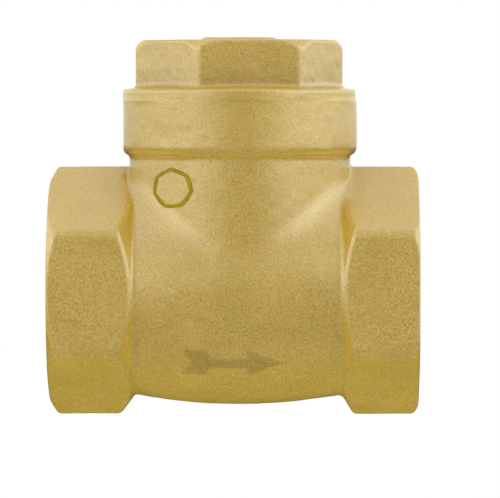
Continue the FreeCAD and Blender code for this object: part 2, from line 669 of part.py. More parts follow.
def hanger_nut():
    """Slotted hexagon nut; its slots hold the cotter."""
    bottom = BACK_WASHER_START + BACK_WASHER_THICKNESS + TOUCH
    prism = hexagon_prism(NUT_ACROSS_FLATS, NUT_HEIGHT, 0)
    corner = NUT_ACROSS_FLATS / math.sqrt(3)
    rounded = turned(
        [
            (0, 0),
            (0, corner - 0.6),
            (0.35, corner),
            (NUT_HEIGHT - 0.35, corner),
            (NUT_HEIGHT, corner - 0.6),
            (NUT_HEIGHT, 0),
        ],
        ALONG_Z,
    )
    nut = prism.common(rounded).cut(cylinder(NUT_HOLE, ORIGIN, NUT_HEIGHT, ALONG_Z))
    for turn in (30, 90, 150):
        slot = Part.makeBox(
            NUT_ACROSS_FLATS * 2,
            NUT_SLOT_WIDTH,
            NUT_SLOT_DEPTH + 1,
            V(-NUT_ACROSS_FLATS, -NUT_SLOT_WIDTH / 2, NUT_HEIGHT - NUT_SLOT_DEPTH),
        )
        slot.rotate(ORIGIN, ALONG_Z, turn)
        nut = nut.cut(slot)
    nut.rotate(ORIGIN, ALONG_Y, 90)
    nut.translate(V(bottom, 0, 0))
    return at_seat(nut)


def nut_cotter():
    """Split pin: an eye, a shank through nut and stud, and two legs bent back round the nut."""
    place = cotter_place()
    half = COTTER_HALF_LENGTH
    shank = cylinder(COTTER_RADIUS, V(place, -half, 0), 2 * half, ALONG_Y)
    eye_centre = V(place, -half - COTTER_EYE_RADIUS * 0.8, 0)
    eye = Part.makeTorus(COTTER_EYE_RADIUS, COTTER_EYE_WIRE, eye_centre, ALONG_Z)
    legs = []
    for side in (-1, 1):
        bent = V(0, -COTTER_LEG_LEAN, side).normalize()
        leg = cylinder(COTTER_LEG_RADIUS, V(place, half - COTTER_RADIUS, 0), COTTER_LEG_LENGTH, bent)
        legs.append(leg)
    return at_seat(shank.fuse([eye] + legs))


NODES = {
    "valve_body": valve_body,
    "hinge_pin": hinge_pin,
    "hinge_pin_plug": hinge_pin_plug,
    "plug_sealant": plug_sealant,
    "bonnet_cap": bonnet_cap,
    "bonnet_gasket": bonnet_gasket,
    "disc_hanger": disc_hanger,
    "disc_holder": disc_holder,
    "seat_disc": seat_disc,
    "seat_disc_washer": seat_disc_washer,
    "seat_disc_screw": seat_disc_screw,
    "hanger_washer": hanger_washer,
    "hanger_nut": hanger_nut,
    "nut_cotter": nut_cotter,
}


def main():
    os.makedirs("parts", exist_ok=True)
    for name, make in NODES.items():
        shape = make()
        if not shape.isValid() or len(shape.Solids) != 1:
            print(name, "is not one valid solid:", shape.isValid(), len(shape.Solids))
        shape.exportStep("parts/" + name + ".step")


main()
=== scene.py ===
import math

import bmesh
import bpy
import numpy as np
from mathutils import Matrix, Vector


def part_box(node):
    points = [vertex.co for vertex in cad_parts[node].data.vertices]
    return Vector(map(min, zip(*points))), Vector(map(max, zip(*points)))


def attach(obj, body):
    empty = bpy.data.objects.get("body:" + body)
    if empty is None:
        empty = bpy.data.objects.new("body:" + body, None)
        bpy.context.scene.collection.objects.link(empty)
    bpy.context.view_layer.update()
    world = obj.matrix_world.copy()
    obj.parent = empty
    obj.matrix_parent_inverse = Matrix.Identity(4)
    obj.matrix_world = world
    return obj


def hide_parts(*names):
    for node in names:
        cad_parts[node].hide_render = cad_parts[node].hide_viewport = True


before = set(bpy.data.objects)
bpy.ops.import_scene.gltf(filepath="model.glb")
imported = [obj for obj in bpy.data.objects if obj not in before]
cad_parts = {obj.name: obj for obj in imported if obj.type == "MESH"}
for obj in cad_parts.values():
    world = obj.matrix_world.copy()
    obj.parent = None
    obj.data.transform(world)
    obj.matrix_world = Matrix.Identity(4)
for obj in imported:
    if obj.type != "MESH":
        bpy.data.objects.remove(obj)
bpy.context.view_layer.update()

# The brass swing check valve's looks. Lengths are millimetres until a mesh is made, in the CAD's frame:
# +X along the flow, +Z up to the cap, and the front of the valve faces -Y.
MM = 0.001
ROOT3 = math.sqrt(3)
SMALL = 1e-9
SLIVER = 0.0002  # faces thinner than this are dissolved
SPARE = 1.0  # how far a skin is made past a plane that then cuts it


def box_mm(node):
    """A CAD node's lowest and highest corners, in millimetres."""
    low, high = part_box(node)
    return np.array(low) / MM, np.array(high) / MM


# ---- places taken from the CAD nodes' boxes ----
body_low, body_high = box_mm("valve_body")
cap_low, cap_high = box_mm("bonnet_cap")
plug_low, plug_high = box_mm("hinge_pin_plug")
gasket_high = box_mm("bonnet_gasket")[1]
LENGTH = body_high[0]
HUB_CORNER = -body_low[2]
COLLAR_TOP = body_high[2]
COLLAR_RADIUS = body_high[1]
CAP_X = (cap_low[0] + cap_high[0]) / 2
CAP_TOP = cap_high[2]
FLANGE_RADIUS = (cap_high[0] - cap_low[0]) / 2
FLANGE_BOTTOM = gasket_high[2]
PIN_X = (plug_low[0] + plug_high[0]) / 2
PIN_Z = (plug_low[2] + plug_high[2]) / 2

# ---- casting ----
CELL = 0.47
CAP_CELL = 0.36
NECK_X = CAP_X + 0.15
NECK_RADIUS = COLLAR_RADIUS - 1.35
COLLAR_BOTTOM = COLLAR_TOP - 11.0
COLLAR_ROUND = 0.9
HUB_FLATS = 44.0
INLET_HUB = 14.4
INLET_FACE_RADIUS = 22.4
INLET_BACK_SLOPE = 1.4
OUTLET_HUB = 13.2
OUTLET_FACE_RADIUS = 23.6
OUTLET_BACK_SLOPE = 1.7
WEB_END = 17.6
WEB_HALF = 2.6
BARREL_RADIUS = 23.2
BARREL_ARC = 112.0
ARROW_START = 27.2
ARROW_LENGTH = 20.0
ARROW_ANGLE = math.radians(37)
ARROW_HALF = 3.1
ARROW_SHAFT = 1.1
ARROW_HEAD = 6.8
ARROW_TAIL = 6.4
ARROW_NOTCH = 2.2
ARROW_PROUD = 0.42
ARROW_SOFTNESS = 1.1  # width of the slope round its outline

# ---- roundings and fillets of the casting ----
HUB_CORNER_ROUND = 0.7
HUB_SIDE_ROUND = 0.9  # added to that towards the hub's front and back corners
HUB_SIDE_START = 6.0
HUB_SIDE_SPAN = 10.0
HUB_CHAMFER_ROUND = 0.6
HUB_FACE_ROUND = 0.4
HUB_BACK_ROUND = 0.7
WEB_FILLET = 1.8
INLET_FILLET = 0.5
OUTLET_FILLET = 1.0
COLLAR_FILLET = 0.5
COLLAR_TOP_ROUND = 0.15
NECK_FILLET = 1.0
NECK_CROOK_FILLET = 4.0  # added where barrel and neck cross squarely
NECK_CROOK_HEIGHT = 12.0  # that fillet grows up to this height

# ---- cutting drums for the hollows: a little wider than the CAD body's bores, which then trim them ----
BELOW_RIM_DRUM = 60  # wide and deep enough to hold the whole body
PORT_DRUM = 17.05
PORT_DRUM_PAST = 3  # how far it reaches out of both ends
CHAMBER_DRUM = 19.6
CHAMBER_START = 18
CHAMBER_END_INSET = 16.5
WELL_DRUM = 20.7
WELL_TOP = 36
POCKET_DRUM = 22.03
POCKET_BOTTOM = 35
POCKET_DRUM_TOP = COLLAR_TOP + 5
PLUG_DRUM = 3.43
PLUG_DRUM_START = -30
PLUG_DRUM_END = -13.39
PIN_DRUM = 2.09
PIN_DRUM_START = -13.5
PIN_DRUM_END = 15.62

# ---- where the casting is machined ----
ON_SKIN = 0.3  # a face nearer than this to the outer shape belongs to the outside
ON_PLANE = 0.05
MACHINED_FADE = 0.6  # the cast unevenness fades out over this distance from a machined face
THREAD_PAST_HUB = 3
SEAT_END = 24
SEAT_OUTER = 14.5

# ---- cap ----
CAP_FLATS = 37.4
CAP_CORNER_RADIUS = 21.35
CAP_CHAMFER = 1.6
CAP_TURN = math.radians(7.5)
CAP_BOSS_RADIUS = 7.5
CAP_HEX_TOP = CAP_TOP - 0.6
FLANGE_EDGE = FLANGE_BOTTOM + 2.2
FLANGE_SLOPE = 0.12  # the flange's top falls by this much per unit of radius
LIP_START = gasket_high[0] - CAP_X + 0.05  # the flange's lip starts just outside the gasket
LIP_DROP = 0.195  # how far the lip hangs below the rest of the flange's underside
CAP_HEX_ROUND = 1.1
CAP_CROWN_ROUND = 0.4
RIM_ROUND = 0.25
FOOT_ROUND = 0.1
FLANGE_FILLET = 0.9
BOSS_FILLET = 0.6
ABOVE_LIP_DRUM = 40  # wide enough to hold the whole cap
ABOVE_LIP_TOP = CAP_TOP + 5
ROOM_DRUM_BOTTOM = FLANGE_BOTTOM - 5
SPIGOT_DRUM = 21.0
SPIGOT_DRUM_TOP = FLANGE_BOTTOM + 1.2
CAP_HOLLOW_DRUM = 17.0
CAP_HOLLOW_TOP = CAP_TOP - 4
CAP_DRUM_BOTTOM = 25

# ---- sealant bead ----
BEAD_HALF = 0.39
BEAD_OUTER = 4.14
BEAD_CORNERS = 7
BEAD_TURN = 0.16
BEAD_LIFT = 0.06

# ---- colours ----
WHITE = (1.0, 1.0, 1.0)
WARM_BRASS = (0.465, 0.278, 0.018)
PALE_BRASS = (0.51, 0.309, 0.028)
GRAIN_DARK = (0.76, 0.66, 0.10)
GRAIN_LIGHT = (1.24, 1.34, 1.90)
PIT_BRASS = (0.28, 0.18, 0.03)
# painted shade on the raised flow arrow, standing in for its reflection of the dark table
ARROW_SHADE = (0.76, 0.74, 0.64)
TURNED_DARK = (0.60, 0.44, 0.14)
TURNED_LIGHT = (0.70, 0.53, 0.20)
SEALANT_DARK = (0.25, 0.155, 0.001)
SEALANT_LIGHT = (0.34, 0.215, 0.002)
STEEL_DARK = (0.50, 0.50, 0.49)
STEEL_LIGHT = (0.62, 0.62, 0.61)
FIBRE_DARK = (0.10, 0.12, 0.10)
FIBRE_LIGHT = (0.24, 0.27, 0.23)
RUBBER_DARK = (0.012, 0.012, 0.013)
RUBBER_LIGHT = (0.032, 0.032, 0.034)

# ---- light ----
STUDIO_GLOW = 1.38
STUDIO_FILL = 1.32
STUDIO_TINT = (0.955, 1.0, 0.93)
FLOOR_IN_DIFFUSE = 1.5
FLOOR_TINT = (0.92, 1.0, 0.98)
FLOOR_REACH = 3000.0
FLOOR_GAP = 0.02

# ---- camera ----
CAMERA_AIM = (40.7, 0, 8.4)
CAMERA_DISTANCE = 1.1  # metres
CAMERA_AZIMUTH = math.radians(0.6)
CAMERA_ELEVATION = math.radians(1.6)
SENSOR_WIDTH = 36.0
VIEW_WIDTH = 101.9


# ---------------------------------------------------------------- distance fields
def smooth_min(a, b, reach):
    """The smaller of two distances, with a fillet where they are nearly equal."""
    h = np.maximum(reach - np.abs(a - b), 0)
    return np.minimum(a, b) - h * h / (4 * reach)


def smooth_max(a, b, reach):
    """The larger of two distances, rounded where they are nearly equal."""
    h = np.maximum(reach - np.abs(a - b), 0)
    return np.maximum(a, b) + h * h / (4 * reach)


def hexagon(u, v, flats, corner_round, turn=0.0):
    """Distance to a hexagon whose first flat faces along u, turned by an angle."""
    sides = []
    for k in range(3):
        angle = turn + math.radians(60 * k)
        sides.append(np.abs(u * math.cos(angle) + v * math.sin(angle)))
    return smooth_max(smooth_max(sides[0], sides[1], corner_round), sides[2], corner_round) - flats / 2


def cone(along, across, at_along, at_across, slope):
    """Distance to a cone's side; slope is how much radius is lost per unit along."""
    return (slope * (along - at_along) + (across - at_across)) / math.hypot(slope, 1)


def hub(x, y, z, r, face_radius, length, back_slope, web_end):
    """A hexagon end; x runs inwards from its face. A web carries its top corner on to the neck."""
    web = np.maximum(np.maximum(np.abs(y) - WEB_HALF, x - web_end), -z)
    back = smooth_min(cone(x, r, length, HUB_CORNER, back_slope), web, WEB_FILLET)
    to_side = np.clip((np.abs(y) - HUB_SIDE_START) / HUB_SIDE_SPAN, 0, 1)
    d = hexagon(y, z, HUB_FLATS, HUB_CORNER_ROUND + HUB_SIDE_ROUND * to_side)
    d = smooth_max(d, cone(-x, r, 0, face_radius, ROOT3), HUB_CHAMFER_ROUND)
    return smooth_max(smooth_max(d, back, HUB_BACK_ROUND), -x, HUB_FACE_ROUND)


def barrel(x, r):
    """Distance to the body between the hubs, whose side is a shallow arc."""
    arc = np.sqrt(np.maximum(BARREL_ARC**2 - (x - NECK_X) ** 2, 1))
    return np.maximum(r - arc + BARREL_ARC - BARREL_RADIUS, np.abs(x - LENGTH / 2) - LENGTH / 2 + 6)


def rounded_drum(across, along, radius, low, high, low_round, high_round):
    """Distance to a drum with rounded rims."""
    bottom = smooth_max(across - radius, low - along, low_round * 2)
    return smooth_max(bottom, along - high, high_round * 2)


def body_distance(x, y, z):
    """Distance to the casting's outer shape, which goes on past the collar's rim by SPARE."""
    r = np.sqrt(y * y + z * z)
    inlet = hub(x, y, z, r, INLET_FACE_RADIUS, INLET_HUB, INLET_BACK_SLOPE, WEB_END)
    outlet = hub(LENGTH - x, y, z, r, OUTLET_FACE_RADIUS, OUTLET_HUB, OUTLET_BACK_SLOPE, WEB_END)
    upright = np.sqrt((x - NECK_X) ** 2 + y * y)
    domed = np.sqrt((x - NECK_X) ** 2 + y * y + np.minimum(z, 0) ** 2)
    neck = np.maximum(domed - NECK_RADIUS, z - COLLAR_TOP + 2)
    squareness = 1 - np.clip(y * y / np.maximum(r * upright, 1), 0, 1)
    crook = squareness * np.clip(z / NECK_CROOK_HEIGHT, 0, 1)
    d = smooth_min(barrel(x, r), neck, NECK_FILLET + NECK_CROOK_FILLET * crook)
    d = smooth_min(d, inlet, INLET_FILLET)
    d = smooth_min(d, outlet, OUTLET_FILLET)
    rim = COLLAR_TOP + SPARE
    collar = rounded_drum(upright, z, COLLAR_RADIUS, COLLAR_BOTTOM, rim, COLLAR_ROUND, COLLAR_TOP_ROUND)
    return smooth_min(d, collar, COLLAR_FILLET)


def cap_distance(x, y, z):
    """Distance to the cap above its skirt, which goes on past the flange's underside by SPARE."""
    x = x - CAP_X
    r = np.sqrt(x * x + y * y)
    chamfer = cone(z, r, CAP_HEX_TOP, CAP_CORNER_RADIUS - CAP_CHAMFER, 1.0)
    crown = smooth_max(r - CAP_CORNER_RADIUS, chamfer, CAP_CROWN_ROUND)
    crown = smooth_max(crown, z - CAP_HEX_TOP, CAP_CROWN_ROUND)
    sides = hexagon(x, y, CAP_FLATS, CAP_HEX_ROUND, CAP_TURN + math.radians(30))
    d = smooth_max(sides, crown, CAP_CROWN_ROUND)
    tilted = z + (r - FLANGE_RADIUS) * FLANGE_SLOPE
    flange = rounded_drum(r, tilted, FLANGE_RADIUS, 0, FLANGE_EDGE, FOOT_ROUND, RIM_ROUND)
    d = smooth_min(d, flange, FLANGE_FILLET)
    boss = rounded_drum(r, z, CAP_BOSS_RADIUS, 0, CAP_TOP, FOOT_ROUND, RIM_ROUND)
    d = smooth_min(d, boss, BOSS_FILLET)
    return np.maximum(d, FLANGE_BOTTOM - SPARE - z)


# ---------------------------------------------------------------- noise
def lattice_noise(points, size, seed):
    """Smooth noise between -1 and 1 whose bumps are about size across."""
    table = np.random.default_rng(seed).uniform(-1, 1, (64, 64, 64))
    scaled = points / size + 1000
    base = np.floor(scaled).astype(int)
    t = scaled - base
    t = t * t * (3 - 2 * t)
    total = np.zeros(len(points))
    for corner in range(8):
        step = np.array([corner & 1, corner >> 1 & 1, corner >> 2 & 1])
        weight = np.prod(np.where(step, t, 1 - t), axis=1)
        i, j, k = ((base + step) % 64).T
        total += weight * table[i, j, k]
    return total


def cast_noise(points):
    """Height of the sand-cast skin's unevenness, in millimetres."""
    wave = 0.075 * lattice_noise(points, 11.0, 1) + 0.04 * lattice_noise(points, 4.5, 2)
    grain = 0.022 * lattice_noise(points, 1.7, 3) + 0.013 * lattice_noise(points, 0.8, 4)
    return wave + grain


# ---------------------------------------------------------------- meshes
def surface_net(distance, low, high, cell):
    """Points and quads of the surface where distance is 0, with one point in each cell it crosses."""
    axes = [np.arange(low[k], high[k] + cell, cell) for k in range(3)]
    field = distance(axes[0][:, None, None], axes[1][None, :, None], axes[2][None, None, :])
    cells = np.array(field.shape) - 1
    total = np.zeros((3, cells.prod()))
    count = np.zeros(cells.prod())
    quads = []
    for axis in range(3):
        side, up = (axis + 1) % 3, (axis + 2) % 3
        last = field.shape[axis]
        start = np.take(field, range(last - 1), axis)
        end = np.take(field, range(1, last), axis)
        edges = np.argwhere((start < 0) != (end < 0))
        a, b = start[tuple(edges.T)], end[tuple(edges.T)]
        crossing = edges.astype(float)
        crossing[:, axis] += a / (a - b)
        around = []
        for back_side, back_up in ((0, 0), (1, 0), (1, 1), (0, 1)):
            cell_index = edges.copy()
            cell_index[:, side] -= back_side
            cell_index[:, up] -= back_up
            around.append(np.ravel_multi_index(cell_index.T, cells))
            count += np.bincount(around[-1], minlength=len(count))
            for k in range(3):
                total[k] += np.bincount(around[-1], crossing[:, k], len(count))
        around = np.stack(around, 1)
        quads.append(np.where((a < 0)[:, None], around, around[:, ::-1]))
    used = np.flatnonzero(count)
    number = np.zeros(len(count), int)
    number[used] = np.arange(len(used))
    points = (total[:, used] / count[used]).T * cell + np.array([a[0] for a in axes])
    return points, number[np.vstack(quads)]


def gradient(distance, points):
    """The distance's slope at each point."""
    h = 0.02
    slopes = []
    for k in range(3):
        step = np.zeros(3)
        step[k] = h
        slopes.append((distance(*(points + step).T) - distance(*(points - step).T)) / (2 * h))
    return np.stack(slopes, 1)


def onto_surface(distance, points):
    """Moves points to the surface and returns them with the outward normals."""
    for _ in range(3):
        slope = gradient(distance, points)
        size = np.maximum((slope**2).sum(1), 0.1)
        shift = np.clip(distance(*points.T) / size, -0.3, 0.3)
        points = points - slope * shift[:, None]
    slope = gradient(distance, points)
    return points, slope / np.maximum(np.linalg.norm(slope, axis=1), SMALL)[:, None]


def new_object(name, points, faces):
    """A mesh object from points in millimetres."""
    mesh = bpy.data.meshes.new(name)
    mesh.from_pydata((np.asarray(points) * MM).tolist(), [], np.asarray(faces).tolist())
    mesh.validate()
    obj = bpy.data.objects.new(name, mesh)
    bpy.context.scene.collection.objects.link(obj)
    return obj


def drum(name, radius, start, end, sides=96):
    """A closed cylinder between two points on its axis."""
    start, end = np.array(start, float), np.array(end, float)
    axis = (end - start) / np.linalg.norm(end - start)
    side = np.cross(axis, [0, 0, 1] if abs(axis[2]) < 0.5 else [1, 0, 0])
    side /= np.linalg.norm(side)
    up = np.cross(axis, side)
    angles = np.arange(sides) * 2 * math.pi / sides
    ring = radius * (np.cos(angles)[:, None] * side + np.sin(angles)[:, None] * up)
    points = np.vstack([start + ring, end + ring])
    walls = [(i, (i + 1) % sides, (i + 1) % sides + sides, i + sides) for i in range(sides)]
    mesh = bpy.data.meshes.new(name)
    ends = [tuple(reversed(range(sides))), tuple(range(sides, 2 * sides))]
    mesh.from_pydata((points * MM).tolist(), [], walls + ends)
    obj = bpy.data.objects.new(name, mesh)
    bpy.context.scene.collection.objects.link(obj)
    return obj


def combine(target, other, operation):
    """Applies one boolean to target's mesh and removes the other object."""
    modifier = target.modifiers.new("combine", "BOOLEAN")
    modifier.operation = operation
    modifier.solver = "MANIFOLD"
    modifier.object = other
    depsgraph = bpy.context.evaluated_depsgraph_get()
    mesh = bpy.data.meshes.new_from_object(target.evaluated_get(depsgraph))
    target.modifiers.clear()
    target.data = mesh
    bpy.data.objects.remove(other)
    return target


def drop_slivers(obj):
    """Dissolves the faces without area that booleans leave on a cut's edge."""
    mesh = bmesh.new()
    mesh.from_mesh(obj.data)
    bmesh.ops.dissolve_degenerate(mesh, dist=SLIVER * MM, edges=mesh.edges)
    bmesh.ops.triangulate(mesh, faces=[face for face in mesh.faces if len(face.verts) > 4])
    mesh.to_mesh(obj.data)
    mesh.free()


def cad_copy(node):
    """A closed copy of a CAD node's mesh, to cut with."""
    obj = bpy.data.objects.new(node + "_copy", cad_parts[node].data.copy())
    bpy.context.scene.collection.objects.link(obj)
    modifier = obj.modifiers.new("weld", "WELD")
    modifier.merge_threshold = 1e-7
    depsgraph = bpy.context.evaluated_depsgraph_get()
    obj.data = bpy.data.meshes.new_from_object(obj.evaluated_get(depsgraph))
    obj.modifiers.clear()
    return obj


def paint(obj, indices, materials):
    """Gives a mesh its materials and each face one of them."""
    obj.data.materials.clear()
    for material in materials:
        obj.data.materials.append(material)
    chosen = np.zeros(len(obj.data.polygons), int) + indices
    obj.data.polygons.foreach_set("material_index", chosen.astype(np.int32))


def centres_mm(mesh):
    """Every face's centre, in millimetres."""
    flat = np.zeros(len(mesh.polygons) * 3)
    mesh.polygons.foreach_get("center", flat)
    return flat.reshape(-1, 3) / MM


# ---------------------------------------------------------------- body
def arrow_height(points):
    """How far the flow arrow lifts each point of the barrel, on both sides."""
    u = points[:, 0] - ARROW_START
    below = np.arctan2(-points[:, 2], np.abs(points[:, 1]))
    v = np.abs((below - ARROW_ANGLE) * BARREL_RADIUS)
    head = ARROW_LENGTH - ARROW_HEAD
    taper = (u - head) * ARROW_HALF / ARROW_HEAD
    in_head = np.maximum(head - u, (v + taper - ARROW_HALF) * 0.9)
    in_shaft = np.maximum(np.maximum(ARROW_TAIL - 1 - u, u - head - 1), v - ARROW_SHAFT)
    swallow = (ARROW_NOTCH - u) - v * ARROW_NOTCH / ARROW_HALF
    feather_end = u - ARROW_TAIL + v * ARROW_NOTCH / ARROW_HALF * 0.8
    in_tail = np.maximum(np.maximum(swallow, feather_end), v - ARROW_HALF)
    inside = np.minimum(np.minimum(in_head, in_shaft), in_tail)
    rise = np.clip(0.5 - inside / ARROW_SOFTNESS, 0, 1)
    return ARROW_PROUD * rise * rise * (3 - 2 * rise)


def machined_mask(points):
    """1 on cast skin, falling to 0 at the turned end faces and the collar's rim."""
    gap = np.minimum(np.minimum(points[:, 0], LENGTH - points[:, 0]), COLLAR_TOP - points[:, 2])
    return np.clip(gap / MACHINED_FADE, 0, 1)


def body_skin():
    """The casting's outside as a solid block, with its cast unevenness and arrows."""
    low = body_low - 2.0
    high = body_high + 2.0
    points, quads = surface_net(body_distance, low, high, CELL)
    points, normals = onto_surface(body_distance, points)
    lift = cast_noise(points) * machined_mask(points) + arrow_height(points)
    points = np.clip(points + normals * lift[:, None], body_low, body_high + [0, 0, 2 * SPARE])
    skin = new_object("valve_body_casting", points, quads)
    under = (LENGTH / 2, 0, -BELOW_RIM_DRUM)
    below_rim = drum("below_rim", BELOW_RIM_DRUM, under, (LENGTH / 2, 0, COLLAR_TOP))
    return combine(skin, below_rim, "INTERSECT")


def cross_drum(name, radius, start_y, end_y):
    """A drum on the hinge pin's axis."""
    return drum(name, radius, (PIN_X, start_y, PIN_Z), (PIN_X, end_y, PIN_Z), 64)


def body_waterway():
    """Everything hollow in the CAD body, as one solid that reaches out through its openings."""
    hollow = drum("ports", PORT_DRUM, (-PORT_DRUM_PAST, 0, 0), (LENGTH + PORT_DRUM_PAST, 0, 0))
    chamber_end = LENGTH - CHAMBER_END_INSET
    chamber = drum("chamber", CHAMBER_DRUM, (CHAMBER_START, 0, 0), (chamber_end, 0, 0))
    well = drum("well", WELL_DRUM, (CAP_X, 0, 0), (CAP_X, 0, WELL_TOP), 128)
    pocket = drum("pocket", POCKET_DRUM, (CAP_X, 0, POCKET_BOTTOM), (CAP_X, 0, POCKET_DRUM_TOP), 128)
    plug_bore = cross_drum("plug_bore", PLUG_DRUM, PLUG_DRUM_START, PLUG_DRUM_END)
    pin_bore = cross_drum("pin_bore", PIN_DRUM, PIN_DRUM_START, PIN_DRUM_END)
    for part in (chamber, well, pocket, plug_bore, pin_bore):
        combine(hollow, part, "UNION")
    return combine(hollow, cad_copy("valve_body"), "DIFFERENCE")


def mark_arrow(mesh):
    """Stores how far each vertex is raised by the arrow, from 0 to 1, for the material, which darkens
    the raised arrow there as painted shade.
    """
    flat = np.zeros(len(mesh.vertices) * 3)
    mesh.vertices.foreach_get("co", flat)
    attribute = mesh.attributes.new("arrow", "FLOAT", "POINT")
    attribute.data.foreach_set("value", arrow_height(flat.reshape(-1, 3) / MM) / ARROW_PROUD)


def body_finish(centres):
    """0 where the body is as cast and 1 where it is machined, for each face."""
    x, y, z = centres.T
    outside = np.abs(body_distance(x, y, z)) < ON_SKIN + ARROW_PROUD
    turned_face = (x < ON_PLANE) | (x > LENGTH - ON_PLANE) | (z > COLLAR_TOP - ON_PLANE)
    inlet_thread = x < INLET_HUB + THREAD_PAST_HUB
    outlet_thread = x > LENGTH - OUTLET_HUB - THREAD_PAST_HUB
    seat = (x < SEAT_END) & (np.hypot(y, z) < SEAT_OUTER)
    bored = inlet_thread | outlet_thread | (z > COLLAR_BOTTOM) | seat
    return np.where(outside, turned_face, bored).astype(int)


def make_body():
    body = combine(body_skin(), body_waterway(), "DIFFERENCE")
    drop_slivers(body)
    finishes = [cast_brass("cast_brass", True), turned_brass("machined_brass", 0)]
    paint(body, body_finish(centres_mm(body.data)), finishes)
    mark_arrow(body.data)
    shade(body)
    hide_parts("valve_body")
    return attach(body, "casing")


# ---------------------------------------------------------------- cap
def cap_skin():
    """The cap above its skirt, solid, with room for the gasket under its flange."""
    low = np.array([cap_low[0], cap_low[1], FLANGE_BOTTOM]) - 2.0
    points, quads = surface_net(cap_distance, low, cap_high + 2.0, CAP_CELL)
    points, normals = onto_surface(cap_distance, points)
    mask = np.clip((points[:, 2] - FLANGE_BOTTOM) / MACHINED_FADE, 0, 1)
    lift = cast_noise(points + 50) * mask
    points = np.clip(points + normals * lift[:, None], cap_low, cap_high)
    skin = new_object("bonnet_cap_forging", points, quads)
    lip = (CAP_X, 0, FLANGE_BOTTOM - LIP_DROP)
    combine(skin, drum("above_lip", ABOVE_LIP_DRUM, lip, (CAP_X, 0, ABOVE_LIP_TOP)), "INTERSECT")
    underside = (CAP_X, 0, FLANGE_BOTTOM)
    room = drum("gasket_room", LIP_START, (CAP_X, 0, ROOM_DRUM_BOTTOM), underside, 128)
    return combine(skin, room, "DIFFERENCE")


def cap_finish(centres):
    """0 where the cap is as forged and 1 where it is machined, for each face."""
    x, y, z = centres.T
    outside = np.abs(cap_distance(x, y, z)) < ON_SKIN
    return np.where(outside & (z > FLANGE_BOTTOM + ON_PLANE), 0, 1)


def make_cap():
    cap = cap_skin()
    foot = (CAP_X, 0, CAP_DRUM_BOTTOM)
    spigot = drum("spigot", SPIGOT_DRUM, foot, (CAP_X, 0, SPIGOT_DRUM_TOP), 128)
    combine(spigot, cad_copy("bonnet_cap"), "INTERSECT")
    hollow = drum("cap_hollow", CAP_HOLLOW_DRUM, foot, (CAP_X, 0, CAP_HOLLOW_TOP), 96)
    combine(hollow, cad_copy("bonnet_cap"), "DIFFERENCE")
    combine(cap, spigot, "UNION")
    combine(cap, hollow, "DIFFERENCE")
    drop_slivers(cap)
    finishes = [cast_brass("cast_brass_cap"), turned_brass("machined_cap", 2, (CAP_X, 0.0, 0.0))]
    paint(cap, cap_finish(centres_mm(cap.data)), finishes)
    shade(cap)
    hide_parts("bonnet_cap")
    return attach(cap, "cap")


# ---------------------------------------------------------------- sealant bead
def bead_radius(angle):
    """A hand-laid ring: seven soft corners and a little wander."""
    step = 2 * math.pi / BEAD_CORNERS
    turn = (angle + BEAD_TURN) % step - step / 2
    corner = math.cos(step / 2) / math.cos(turn)
    return BEAD_OUTER * (0.45 + 0.55 * corner) + 0.03 * math.sin(3 * angle + 1)


def front_of_body(x, z):
    """The Y of the casting's front surface at a place."""
    y = -COLLAR_RADIUS
    for _ in range(12):
        y += float(body_distance(x, y, z))
    return y


def make_bead():
    """The sealant bead round the plug, lying on the neck."""
    turns, around = 140, 14
    points = []
    for i in range(turns):
        angle = 2 * math.pi * i / turns
        thick = BEAD_HALF + 0.03 * math.sin(5 * angle) + 0.02 * math.sin(11 * angle + 2)
        for j in range(around):
            section = 2 * math.pi * j / around
            radius = bead_radius(angle) - BEAD_HALF + thick * math.cos(section)
            x = PIN_X + radius * math.cos(angle)
            z = PIN_Z + radius * math.sin(angle)
            points.append((x, front_of_body(x, z) - BEAD_LIFT - 0.7 * thick * math.sin(section), z))
    faces = []
    for i in range(turns):
        for j in range(around):
            here, there = i * around, (i + 1) % turns * around
            k = (j + 1) % around
            faces.append((here + j, there + j, there + k, here + k))
    bead = new_object("plug_sealant_bead", points, faces)
    paint(bead, 0, [sealant("sealant")])
    shade(bead)
    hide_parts("plug_sealant")
    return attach(bead, "casing")


def shade(obj, degrees=34):
    """Smooth shading with sharp edges where faces meet at more than an angle."""
    obj.data.shade_smooth()
    obj.data.set_sharp_from_angle(angle=math.radians(degrees))


# ---------------------------------------------------------------- materials
class Graph:
    """Short calls for building a node tree."""

    def __init__(self, tree):
        self.tree = tree

    def add(self, kind, **settings):
        node = self.tree.nodes.new(kind)
        for key, value in settings.items():
            setattr(node, key, value)
        return node

    def link(self, source, target):
        self.tree.links.new(source, target)

    def feed(self, value, socket):
        """Gives a socket a link, a number or a colour."""
        if hasattr(value, "links"):
            self.link(value, socket)
        elif isinstance(value, tuple) and len(socket.default_value) == len(value) + 1:
            socket.default_value = (*value, 1)
        else:
            socket.default_value = value

    def math(self, operation, a, b):
        node = self.add("ShaderNodeMath", operation=operation)
        self.feed(a, node.inputs[0])
        self.feed(b, node.inputs[1])
        return node.outputs[0]

    def step(self, value, low, high, start, end):
        """Goes smoothly from start to end as the value goes from low to high."""
        node = self.add("ShaderNodeMapRange", interpolation_type="SMOOTHSTEP")
        for socket, number in zip(node.inputs[1:5], (low, high, start, end)):
            socket.default_value = number
        self.link(value, node.inputs["Value"])
        return node.outputs[0]

    def mix(self, factor, a, b, blend="MIX"):
        """Two colours mixed, or blended in another way."""
        node = self.add("ShaderNodeMix", data_type="RGBA", blend_type=blend)
        for socket, value in ((node.inputs[0], factor), (node.inputs[6], a), (node.inputs[7], b)):
            self.feed(value, socket)
        return node.outputs[2]


